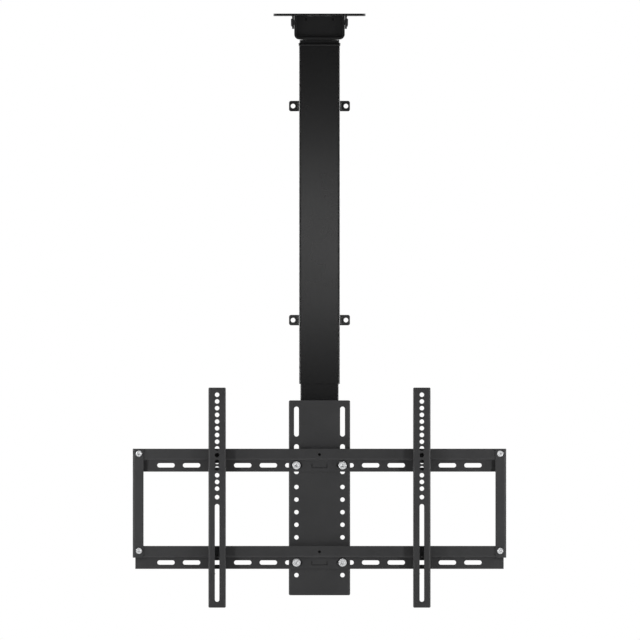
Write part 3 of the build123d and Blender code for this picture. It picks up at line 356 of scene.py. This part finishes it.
def machined_aluminium():
    """Cast aluminium block, milled on its faces: pale metal with the faint arcs of a face mill."""
    material, tree, place = new_material("machined_aluminium")
    arc_width = 1.5 * MM
    arcs = add_node(tree, "ShaderNodeTexWave",
                    {"Vector": place, "Scale": 1 / (2 * math.pi * arc_width), "Distortion": 1.5},
                    wave_type="RINGS")
    tone = add_node(tree, "ShaderNodeValToRGB", {"Fac": arcs.outputs["Fac"]},
                    ramp=(linear("#b9bbbd"), linear("#cfd1d2")))
    shader = add_node(tree, "ShaderNodeBsdfPrincipled",
                      {"Base Color": tone.outputs["Color"], "Metallic": 1.0, "Roughness": 0.36})
    add_node(tree, "ShaderNodeOutputMaterial", {"Surface": shader.outputs[0]})
    return material


def coat_nodes(names, material):
    """Give a material to some of the mount's pieces."""
    for name in names:
        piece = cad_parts[name]
        piece.data.materials.clear()
        piece.data.materials.append(material)


class MOUNT_OT_coat_sheet_steel(bpy.types.Operator):
    """Powder coat the folded sheet steel, and the ceiling plate and head in a darker tone of the same
    coat, which is painted shade
    """
    bl_idname = "mount.coat_sheet_steel"
    bl_label = "Coat Sheet Steel"

    def execute(self, context):
        finish = context.scene.mount_finish
        coat = satin_powder_coat("satin_black_powder_coat", tuple(finish.coat_color),
                                 finish.coat_grain, SHEET_EDGE)
        coat_nodes(SHEET_STEEL, coat)
        # The same coat in a darker colour on the ceiling plate and head is painted shade
        painted_shade_coat = satin_powder_coat("powder_coat_painted_shade", tuple(finish.shaded_bracket_color),
                                      finish.coat_grain, BRACKET_EDGE)
        coat_nodes(CEILING_BRACKET, painted_shade_coat)
        return {"FINISHED"}


class MOUNT_OT_enamel_tubes(bpy.types.Operator):
    """Enamel the column tubes, their top cap and the lugs"""
    bl_idname = "mount.enamel_tubes"
    bl_label = "Enamel Tubes"

    def execute(self, context):
        enamel = semi_gloss_enamel(tuple(context.scene.mount_finish.enamel_color))
        coat_nodes(ENAMELLED_STEEL, enamel)
        return {"FINISHED"}


class MOUNT_OT_plate_fasteners(bpy.types.Operator):
    """Zinc plate the bolts, nuts and washers, and black the hardened screws"""
    bl_idname = "mount.plate_fasteners"
    bl_label = "Plate Fasteners"

    def execute(self, context):
        coat_nodes(ZINC_FASTENERS, zinc_plate_painted_highlight())
        coat_nodes(BLACK_FASTENERS, black_oxide_steel())
        return {"FINISHED"}


class MOUNT_OT_mould_plastics(bpy.types.Operator):
    """Finish the swivel disc, glides, end plug and cable outlet"""
    bl_idname = "mount.mould_plastics"
    bl_label = "Mould Plastics"

    def execute(self, context):
        coat_nodes(GLIDES, moulded_acetal())
        coat_nodes(("cable_outlet",), moulded_rubber())
        return {"FINISHED"}


class MOUNT_OT_finish_drive(bpy.types.Operator):
    """Finish the gearmotor, screw, bearing, nut and blocks inside the column"""
    bl_idname = "mount.finish_drive"
    bl_label = "Finish Drive"

    def execute(self, context):
        steel = turned_metal("turned_steel", linear("#97999c"), linear("#b5b7b9"))
        brass = turned_metal("turned_brass", linear("#b08d4a"), linear("#c9a765"))
        can = turned_metal("drawn_steel_can", linear("#85878a"), linear("#94969a"))
        coat_nodes(TURNED_STEEL, steel)
        coat_nodes(("drive_nut",), brass)
        coat_nodes(("gearmotor",), can)
        coat_nodes(CAST_BLOCKS, machined_aluminium())
        return {"FINISHED"}


def aim(obj, place, target):
    """Put a lamp or camera at a place and turn it towards a target."""
    obj.location = place
    obj.rotation_euler = (Vector(target) - Vector(place)).to_track_quat("-Z", "Y").to_euler()


def add_softbox(name, place, target, size, power, spread=180):
    """A rectangular area lamp that the camera doesn't see, with its place, target, width and height
    in metres, its power in watts and its spread in degrees."""
    bpy.ops.object.light_add(type="AREA")
    lamp = bpy.context.object
    lamp.name = name
    lamp.data.name = name
    lamp.data.shape = "RECTANGLE"
    lamp.data.size, lamp.data.size_y = size
    lamp.data.energy = power
    lamp.data.spread = math.radians(spread)
    lamp.visible_camera = False
    aim(lamp, place, target)


def pale_floor(radius):
    """Matt white floor that keeps the mount's shadow and fades into the white behind it. For the
    camera alone it glows a little, which lifts the paint to that white."""
    material, tree, place = new_material("pale_matt_floor")
    fade_start = 0.55 * radius
    camera_glow = 0.45
    distance = add_node(tree, "ShaderNodeVectorMath", {0: place}, operation="LENGTH")
    fade = add_node(tree, "ShaderNodeMapRange",
                    {"Value": distance.outputs["Value"], "From Min": fade_start, "From Max": radius},
                    interpolation_type="SMOOTHSTEP")
    paint = add_node(tree, "ShaderNodeBsdfDiffuse", {"Color": linear("#f2f2f2")})
    camera_ray = add_node(tree, "ShaderNodeLightPath").outputs["Is Camera Ray"]
    glow_strength = add_node(tree, "ShaderNodeMath", {0: camera_ray, 1: camera_glow},
                             operation="MULTIPLY")
    glow = add_node(tree, "ShaderNodeEmission", {"Strength": glow_strength.outputs[0]})
    lit = add_node(tree, "ShaderNodeAddShader", {0: paint.outputs[0], 1: glow.outputs[0]})
    clear = add_node(tree, "ShaderNodeBsdfTransparent")
    surface = add_node(tree, "ShaderNodeMixShader",
                       {"Fac": fade.outputs[0], 1: lit.outputs[0], 2: clear.outputs[0]})
    add_node(tree, "ShaderNodeOutputMaterial", {"Surface": surface.outputs[0]})
    return material


def studio_world():
    """White behind the mount for the camera and in reflections, darker where the camera stands,
    and a low fill on the mount that comes mostly from below."""
    world = bpy.data.worlds.new("studio")
    world.use_nodes = True
    tree = world.node_tree
    tree.nodes.clear()
    white = linear("#ffffff")
    direction = add_node(tree, "ShaderNodeTexCoord").outputs["Generated"]
    parts = add_node(tree, "ShaderNodeSeparateXYZ", {0: direction}).outputs
    room = add_node(tree, "ShaderNodeMapRange",
                    {"Value": parts["Y"], "From Min": -0.5, "From Max": 0.05, "To Min": 0.1,
                     "To Max": 1.0}, interpolation_type="SMOOTHSTEP")
    bounce = add_node(tree, "ShaderNodeMapRange",
                      {"Value": parts["Z"], "From Min": -0.1, "From Max": 0.1, "To Min": 0.18,
                       "To Max": 0.05}, interpolation_type="SMOOTHSTEP")
    rays = add_node(tree, "ShaderNodeLightPath")
    fill = add_node(tree, "ShaderNodeBackground", {"Color": white, "Strength": bounce.outputs[0]})
    seen = add_node(tree, "ShaderNodeBackground", {"Color": white, "Strength": 1.0})
    mirrored = add_node(tree, "ShaderNodeBackground", {"Color": white, "Strength": room.outputs[0]})
    glossy = add_node(tree, "ShaderNodeMixShader",
                      {"Fac": rays.outputs["Is Glossy Ray"], 1: fill.outputs[0], 2: mirrored.outputs[0]})
    through = add_node(tree, "ShaderNodeMath",
                       {0: rays.outputs["Is Camera Ray"], 1: rays.outputs["Is Transmission Ray"]},
                       operation="MAXIMUM")
    surface = add_node(tree, "ShaderNodeMixShader",
                       {"Fac": through.outputs[0], 1: glossy.outputs[0], 2: seen.outputs[0]})
    add_node(tree, "ShaderNodeOutputWorld", {"Surface": surface.outputs[0]})
    return world


def select_only(pieces):
    """Select some pieces and nothing else, with the first one active."""
    bpy.ops.object.select_all(action="DESELECT")
    for piece in pieces:
        piece.select_set(True)
    bpy.context.view_layer.objects.active = pieces[0]


def start_edit(piece):
    """Open one piece in edit mode with all of it selected."""
    select_only([piece])
    bpy.ops.object.mode_set(mode="EDIT")
    bpy.ops.mesh.select_all(action="SELECT")


def copy_of(piece, name):
    """A new piece with a copy of another's mesh and materials."""
    twin = bpy.data.objects.new(name, piece.data.copy())
    twin.data.name = name
    bpy.context.collection.objects.link(twin)
    return twin


def joined(pieces):
    """Join several pieces into the first one."""
    select_only(pieces)
    bpy.ops.object.join()
    return pieces[0]


def placed(piece, place, axis):
    """Turn a piece's mesh from +Z to an axis and move it to its place."""
    piece.rotation_euler = Vector((0, 0, 1)).rotation_difference(Vector(axis)).to_euler()
    piece.location = place
    select_only([piece])
    bpy.ops.object.transform_apply(location=True, rotation=True, scale=True)
    return piece


def threaded_rod(thread, length):
    """A threaded rod along +Z from the origin: a V of two edges is wound up into the thread, cut
    square at the bottom and drawn in to its tip at the top."""
    pitch = thread.pitch
    depth = THREAD_DEPTH * pitch
    root = (thread.radius - depth, 0, 0)
    merge_distance = pitch / 100
    bpy.ops.object.select_all(action="DESELECT")
    bpy.ops.mesh.primitive_circle_add(vertices=4, radius=pitch / 2, location=root,
                                      rotation=(math.pi / 2, 0, 0))
    rod = bpy.context.object
    bpy.ops.object.transform_apply(location=True, rotation=True, scale=True)
    start_edit(rod)
    bpy.ops.mesh.select_all(action="DESELECT")
    bpy.ops.object.mode_set(mode="OBJECT")
    innermost = min(rod.data.vertices, key=lambda vertex: vertex.co.x)
    innermost.select = True
    bpy.ops.object.mode_set(mode="EDIT")
    bpy.ops.mesh.delete(type="VERT")
    bpy.ops.mesh.select_all(action="SELECT")
    bpy.ops.transform.resize(value=(2 * depth / pitch, 1, 1), center_override=root)
    bpy.ops.object.mode_set(mode="OBJECT")
    winding = rod.modifiers.new("winding", "SCREW")
    winding.screw_offset = pitch
    winding.iterations = math.ceil(length / pitch) + 2
    winding.steps = winding.render_steps = THREAD_STEPS
    winding.use_merge_vertices = True
    winding.merge_threshold = merge_distance
    bpy.ops.object.modifier_apply(modifier=winding.name)
    start_edit(rod)
    bpy.ops.mesh.remove_doubles(threshold=merge_distance)
    bpy.ops.transform.translate(value=(0, 0, -pitch))
    bpy.ops.mesh.bisect(plane_co=(0, 0, 0), plane_no=(0, 0, 1), threshold=CUT_TOLERANCE,
                        use_fill=True, clear_inner=True)
    bpy.ops.mesh.select_all(action="SELECT")
    bpy.ops.mesh.bisect(plane_co=(0, 0, length - thread.tip_length), plane_no=(0, 0, 1),
                        threshold=CUT_TOLERANCE, use_fill=True, clear_outer=True)
    bpy.ops.mesh.extrude_region_move(TRANSFORM_OT_translate={"value": (0, 0, thread.tip_length)})
    bpy.ops.transform.resize(value=(thread.tip_share, thread.tip_share, 1),
                             center_override=(0, 0, length))
    bpy.ops.mesh.select_all(action="SELECT")
    bpy.ops.mesh.normals_make_consistent(inside=False)
    bpy.ops.object.mode_set(mode="OBJECT")
    return rod


def cut_threads(node, body, axis, seats, thread, length):
    """Stand a copy of a node's bolts in for it, with their plain ends cut off at the seats and
    threaded rods there instead."""
    rod = threaded_rod(thread, length)
    bolts = copy_of(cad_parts[node], node + "_threaded")
    start_edit(bolts)
    bpy.ops.mesh.remove_doubles(threshold=CUT_TOLERANCE)
    bpy.ops.mesh.bisect(plane_co=seats[0], plane_no=axis, threshold=CUT_TOLERANCE, use_fill=True,
                        clear_outer=True)
    bpy.ops.object.mode_set(mode="OBJECT")
    ends = [placed(copy_of(rod, node + "_end"), seat, axis) for seat in seats]
    joined([bolts] + ends)
    bpy.ops.object.shade_smooth_by_angle(angle=THREAD_SMOOTHING)
    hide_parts(node)
    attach(bolts, body)
    bpy.data.objects.remove(rod)


def seats_of(ring_node, seat_y):
    """The two places in a plane square to Y, on the axes of a node's two round rings or heads."""
    low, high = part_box(ring_node)
    radius = (high.z - low.z) / 2
    height = (high.z + low.z) / 2
    return [(low.x + radius, seat_y, height), (high.x - radius, seat_y, height)]


class MOUNT_OT_cut_bolt_threads(bpy.types.Operator):
    """Cut threads on the bolt ends that stand out of their nuts, the lock screws and the lead screw"""
    bl_idname = "mount.cut_bolt_threads"
    bl_label = "Cut Bolt Threads"

    def execute(self, context):
        for rail in ("upper", "lower"):
            for kind, ring, thread in (("plate", "plate_washers", PLATE_BOLT_THREAD),
                                       ("corner", "corner_bolts", CORNER_BOLT_THREAD)):
                node = f"{rail}_{kind}_bolts"
                nut_back_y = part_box(f"{rail}_{kind}_nuts")[1].y
                seats = seats_of(f"{rail}_{ring}", nut_back_y - INSIDE_NUT)
                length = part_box(node)[1].y - nut_back_y + INSIDE_NUT
                cut_threads(node, "carriage", (0, 1, 0), seats, thread, length)
        nut_top_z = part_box("swivel_nut")[1].z
        seat = (0, 0, nut_top_z - INSIDE_NUT)
        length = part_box("swivel_bolt")[1].z - nut_top_z + INSIDE_NUT
        cut_threads("swivel_bolt", "column", (0, 0, 1), [seat],
                    SWIVEL_BOLT_THREAD, length)
        for side, hand in ((1, "right"), (-1, "left")):
            nut_low, nut_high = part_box(f"{hand}_pivot_nut")
            bolt_low, bolt_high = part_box(f"{hand}_pivot_bolt")
            nut_end_x = nut_low.x if side > 0 else nut_high.x
            bolt_end_x = bolt_low.x if side > 0 else bolt_high.x
            seat = (nut_end_x + side * INSIDE_NUT, 0, (bolt_low.z + bolt_high.z) / 2)
            length = abs(nut_end_x - bolt_end_x) + INSIDE_NUT
            cut_threads(f"{hand}_pivot_bolt", "ceiling", (-side, 0, 0), [seat],
                        PIVOT_BOLT_THREAD, length)
            screw_low, screw_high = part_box(f"{hand}_lock_screw")
            seat = (screw_low.x + SOCKET_LENGTH, (screw_low.y + screw_high.y) / 2,
                    (screw_low.z + screw_high.z) / 2)
            length = screw_high.x - screw_low.x - SOCKET_LENGTH
            cut_threads(f"{hand}_lock_screw", f"{hand}_arm", (1, 0, 0), [seat],
                        LOCK_SCREW_THREAD, length)
        collar_bottom_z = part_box("screw_bearing")[0].z - SCREW_COLLAR_LENGTH
        length = collar_bottom_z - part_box("lead_screw")[0].z
        cut_threads("lead_screw", "screw", (0, 0, -1), [(0, 0, collar_bottom_z)],
                    LEAD_SCREW_THREAD, length)
        return {"FINISHED"}


def corner_bolt_head():
    """A copy of the right corner bolt's pan head at the origin, with its top towards -Y. The mesh is
    cut behind the head and between the two bolts."""
    seat_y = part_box("right_upright")[0].y
    right_seat = seats_of("upper_corner_bolts", seat_y)[1]
    head = copy_of(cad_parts["upper_corner_bolts"], "pan_head")
    start_edit(head)
    bpy.ops.mesh.remove_doubles(threshold=CUT_TOLERANCE)
    bpy.ops.mesh.bisect(plane_co=(0, seat_y, 0), plane_no=(0, 1, 0), threshold=CUT_TOLERANCE,
                        use_fill=True, clear_outer=True)
    bpy.ops.mesh.select_all(action="SELECT")
    bpy.ops.mesh.bisect(plane_co=(0, 0, 0), plane_no=(1, 0, 0), threshold=CUT_TOLERANCE,
                        clear_inner=True)
    bpy.ops.mesh.select_all(action="SELECT")
    bpy.ops.transform.translate(value=-Vector(right_seat))
    bpy.ops.object.mode_set(mode="OBJECT")
    return head


class MOUNT_OT_round_plate_bolts(bpy.types.Operator):
    """Give the plate bolts round pan heads, after the corner bolts' own, in place of hexagons"""
    bl_idname = "mount.round_plate_bolts"
    bl_label = "Round Plate Bolts"

    def execute(self, context):
        head = corner_bolt_head()
        start_edit(head)
        share = PLATE_BOLT_HEAD / CORNER_BOLT_HEAD
        bpy.ops.transform.resize(value=(share, share, share), center_override=(0, 0, 0))
        bpy.ops.object.mode_set(mode="OBJECT")
        for rail in ("upper", "lower"):
            bolts = bpy.data.objects[f"{rail}_plate_bolts_threaded"]
            seat_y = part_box(f"{rail}_rail")[1].y - RAIL_THICKNESS
            start_edit(bolts)
            bpy.ops.mesh.bisect(plane_co=(0, seat_y, 0), plane_no=(0, 1, 0), threshold=CUT_TOLERANCE,
                                use_fill=True, clear_inner=True)
            bpy.ops.object.mode_set(mode="OBJECT")
            heads = [placed(copy_of(head, f"{rail}_plate_bolt_head"), seat, (0, 0, 1))
                     for seat in seats_of(f"{rail}_plate_washers", seat_y)]
            joined([bolts] + heads)
            bpy.ops.object.shade_smooth_by_angle(angle=THREAD_SMOOTHING)
        bpy.data.objects.remove(head)
        return {"FINISHED"}


def weld_bead(radius, length):
    """A weld bead along +Z from the origin: a row of ripples, as the pool sets behind the torch."""
    bpy.ops.object.select_all(action="DESELECT")
    bpy.ops.mesh.primitive_circle_add(vertices=12, radius=BEAD_END_SHARE * radius, fill_type="NGON")
    bead = bpy.context.object
    start_edit(bead)
    rings = list(RIPPLE_RINGS) * round(length / RIPPLE_LENGTH)
    last_rise = rings[-1][0]
    rings[-1] = (last_rise, BEAD_END_SHARE)
    width = BEAD_END_SHARE
    for rise, share in rings:
        step = (0, 0, rise * RIPPLE_LENGTH)
        bpy.ops.mesh.extrude_region_move(TRANSFORM_OT_translate={"value": step})
        bpy.ops.transform.resize(value=(share / width, share / width, 1), center_override=(0, 0, 0))
        width = share
    bpy.ops.mesh.select_all(action="SELECT")
    bpy.ops.mesh.normals_make_consistent(inside=False)
    bpy.ops.object.mode_set(mode="OBJECT")
    bpy.ops.object.shade_smooth_by_angle(angle=BEAD_SMOOTHING)
    return bead


class MOUNT_OT_lay_welds(bpy.types.Operator):
    """Lay the weld beads that hold the lugs on the tube and the standoffs between tube and plate"""
    bl_idname = "mount.lay_welds"
    bl_label = "Lay Welds"

    def execute(self, context):
        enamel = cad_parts["outer_tube"].data.materials[0]
        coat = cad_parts["adapter_plate"].data.materials[0]
        low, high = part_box("right_upper_lug")
        bead = weld_bead(LUG_WELD_RADIUS, high.z - low.z - 2 * LUG_WELD_GAP)
        for hand in ("right", "left"):
            for level in ("upper", "lower"):
                low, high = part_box(f"{hand}_{level}_lug")
                seat_x = low.x if hand == "right" else high.x
                weld = placed(copy_of(bead, f"{hand}_{level}_lug_weld"),
                              (seat_x, low.y, low.z + LUG_WELD_GAP), (0, 0, 1))
                weld.data.materials.append(enamel)
                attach(weld, "column")
        bpy.data.objects.remove(bead)
        low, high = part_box("upper_standoff")
        bead = weld_bead(STANDOFF_WELD_RADIUS, high.z - low.z - 2 * STANDOFF_WELD_GAP)
        for level in ("upper", "lower"):
            low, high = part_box(f"{level}_standoff")
            beads = [placed(copy_of(bead, f"{level}_standoff_welds"),
                            (x, y, low.z + STANDOFF_WELD_GAP), (0, 0, 1))
                     for x in (low.x + STANDOFF_WELD_INSET, high.x - STANDOFF_WELD_INSET)
                     for y in (low.y + STANDOFF_WELD_INSET / 2, high.y - STANDOFF_WELD_INSET / 2)]
            weld = joined(beads)
            weld.data.materials.append(coat)
            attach(weld, "carriage")
        bpy.data.objects.remove(bead)
        return {"FINISHED"}


class MOUNT_OT_set_stage(bpy.types.Operator):
    """Add the floor, the lamps, the white surroundings and the camera"""
    bl_idname = "mount.set_stage"
    bl_label = "Set Stage"

    def execute(self, context):
        stage = context.scene.mount_stage
        bpy.ops.object.select_all(action="DESELECT")
        bpy.ops.mesh.primitive_circle_add(vertices=96, radius=stage.floor_radius, fill_type="NGON",
                                          location=(0, 0, -stage.floor_height))
        floor = context.object
        floor.name = "floor"
        floor.data.materials.append(pale_floor(stage.floor_radius))
        # A faint glow down the middle of the tube's face
        add_softbox("front_softbox", place=(0, -1.4, -0.44), target=(0, 0, -0.44),
                    size=(0.5, 0.3), power=0.086, spread=50)
        add_softbox("upper_softbox", place=(0, -1.4, -0.1), target=(0, 0, -0.1),
                    size=(0.5, 0.3), power=0.005, spread=50)
        # Even light from below on all that faces the camera
        add_softbox("floor_softbox", place=(0, -0.9, -1.7), target=(0, -0.9, 0),
                    size=(2.4, 1.5), power=8)
        for side, name in ((-1, "left_softbox"), (1, "right_softbox")):
            # The near lamps draw the edges of the screen frame, the side lamps those of the tube and
            # head, and the rear lamps light the mount's back
            add_softbox("near_" + name, place=(0.7 * side, -0.65, -0.93), target=(0, 0, -0.93),
                        size=(0.08, 0.45), power=0.7, spread=110)
            add_softbox(name, place=(1.15 * side, -0.4, -0.45), target=(0, 0, -0.45),
                        size=(0.15, 0.9), power=0.9, spread=100)
            add_softbox("rear_" + name, place=(1.1 * side, 1.1, -0.4), target=(0, 0, -0.6),
                        size=(0.6, 1.0), power=12)
        context.scene.world = studio_world()
        bpy.ops.object.camera_add()
        camera = context.object
        camera.data.sensor_width = 36
        camera.data.lens = camera.data.sensor_width * stage.camera_distance / stage.view_width
        camera.data.clip_start = 1
        camera.data.clip_end = 2 * stage.camera_distance
        aim(camera, VIEW_CENTRE - Vector((0, stage.camera_distance, 0)), VIEW_CENTRE)
        context.scene.camera = camera
        context.scene.view_settings.view_transform = "Standard"
        return {"FINISHED"}


OPERATORS = (
    MOUNT_OT_coat_sheet_steel, MOUNT_OT_enamel_tubes, MOUNT_OT_plate_fasteners,
    MOUNT_OT_mould_plastics, MOUNT_OT_finish_drive, MOUNT_OT_cut_bolt_threads,
    MOUNT_OT_round_plate_bolts, MOUNT_OT_lay_welds, MOUNT_OT_set_stage,
)


class MOUNT_PT_panel(bpy.types.Panel):
    """Lists the sizes, colours and steps that finish the ceiling mount"""
    bl_label = "Ceiling Mount"
    bl_idname = "MOUNT_PT_panel"
    bl_space_type = "VIEW_3D"
    bl_region_type = "UI"
    bl_category = "Ceiling Mount"

    def draw(self, context):
        for settings in (context.scene.mount_finish, context.scene.mount_stage):
            for name in settings.bl_rna.properties.keys():
                if name not in ("rna_type", "name"):
                    self.layout.prop(settings, name)
        for operator in OPERATORS:
            self.layout.operator(operator.bl_idname)


CLASSES = (MountFinishSettings, MountStageSettings) + OPERATORS + (MOUNT_PT_panel,)


def register():
    for item in CLASSES:
        bpy.utils.register_class(item)
    bpy.types.Scene.mount_finish = bpy.props.PointerProperty(type=MountFinishSettings)
    bpy.types.Scene.mount_stage = bpy.props.PointerProperty(type=MountStageSettings)


def unregister():
    del bpy.types.Scene.mount_stage
    del bpy.types.Scene.mount_finish
    for item in reversed(CLASSES):
        bpy.utils.unregister_class(item)


def main():
    """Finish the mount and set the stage."""
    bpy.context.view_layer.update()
    register()
    bpy.ops.mount.coat_sheet_steel()
    bpy.ops.mount.enamel_tubes()
    bpy.ops.mount.plate_fasteners()
    bpy.ops.mount.mould_plastics()
    bpy.ops.mount.finish_drive()
    bpy.ops.mount.cut_bolt_threads()
    bpy.ops.mount.round_plate_bolts()
    bpy.ops.mount.lay_welds()
    bpy.ops.mount.set_stage()


if __name__ == "__main__":
    main()
